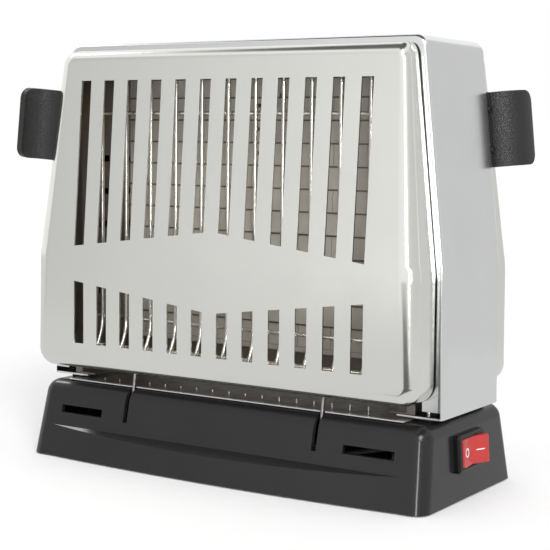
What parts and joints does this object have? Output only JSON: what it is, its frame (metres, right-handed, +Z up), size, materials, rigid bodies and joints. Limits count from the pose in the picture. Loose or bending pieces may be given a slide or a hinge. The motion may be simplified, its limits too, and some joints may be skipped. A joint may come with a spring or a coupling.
{
  "type": "drop side toaster",
  "caption": "Upright electric toaster with slotted chrome doors that drop outwards on wire hinges, a flat heating element between wire guards, and a rocker switch in a black base",
  "frame": {"origin": "centre of the footprint, on the table under the feet", "axes": "+X to the right seen from the front, towards the switch end; +Y to the back; +Z up"},
  "size_m": [0.2226, 0.0978, 0.195],
  "materials": {
    "base_black": "satin black moulding",
    "plate_steel": "zinc plated",
    "foot_rubber": "matte",
    "screw_steel": "zinc plated",
    "deck_chrome": "dulled by heat",
    "housing_chrome": "satin",
    "door_chrome": "satin",
    "frame_steel": "aluminised, heat tinted",
    "guard_steel": "nickel plated",
    "mica": "pressed mica sheet",
    "ribbon_alloy": "nickel chromium ribbon, oxidised",
    "terminal_brass": "plain",
    "lead_sleeve": "glass fibre sleeve",
    "block_ceramic": "unglazed ceramic",
    "switch_black": "satin black",
    "rocker_red": "gloss red",
    "bush_rubber": "matte",
    "spring_steel": "plain spring steel",
    "hinge_steel": "nickel plated",
    "handle_black": "satin black moulding",
    "rivet_alloy": "plain"
  },
  "bodies": {
    "body": {"base_shell": "base_black", "base_plate": "plate_steel", "rubber_feet": "foot_rubber", "base_screws": "screw_steel", "deck_tray": "deck_chrome", "housing_wrapper": "housing_chrome", "housing_screws": "screw_steel", "end_frame_left": "frame_steel", "end_frame_right": "frame_steel", "front_guard": "guard_steel", "rear_guard": "guard_steel", "mica_board": "mica", "heater_ribbon": "ribbon_alloy", "element_rail_bottom": "frame_steel", "element_rail_top": "frame_steel", "element_terminals": "terminal_brass", "lead_wires": "lead_sleeve", "terminal_block": "block_ceramic", "switch_body": "switch_black", "switch_terminals": "terminal_brass", "cord_bush": "bush_rubber", "hinge_keepers": "switch_black", "keeper_screws": "screw_steel", "front_spring": "spring_steel", "rear_spring": "spring_steel"},
    "front_door": {"front_door": "door_chrome", "front_handle": "handle_black", "front_hinge_wire": "hinge_steel", "front_rivets": "rivet_alloy"},
    "rear_door": {"rear_door": "door_chrome", "rear_handle": "handle_black", "rear_hinge_wire": "hinge_steel", "rear_rivets": "rivet_alloy"},
    "rocker": {"switch_rocker": "rocker_red"}
  },
  "joints": [
    {"name": "front_door_hinge", "type": "hinge", "parent": "body", "child": "front_door", "pos_m": [0, -0.036, 0.021], "axis": [1, 0, 0], "range_deg": [0, 90], "stiffness_Nm_per_rad": 0.12, "springref_deg": -28.65},
    {"name": "rear_door_hinge", "type": "hinge", "parent": "body", "child": "rear_door", "pos_m": [0, 0.036, 0.021], "axis": [-1, 0, 0], "range_deg": [0, 90], "stiffness_Nm_per_rad": 0.12, "springref_deg": -28.65},
    {"name": "switch_rocker_hinge", "type": "hinge", "parent": "body", "child": "rocker", "pos_m": [0.10536, -0.0016, 0.02067], "axis": [-0.0698, 0, 0.9976], "range_deg": [0, 20]}
  ]
}
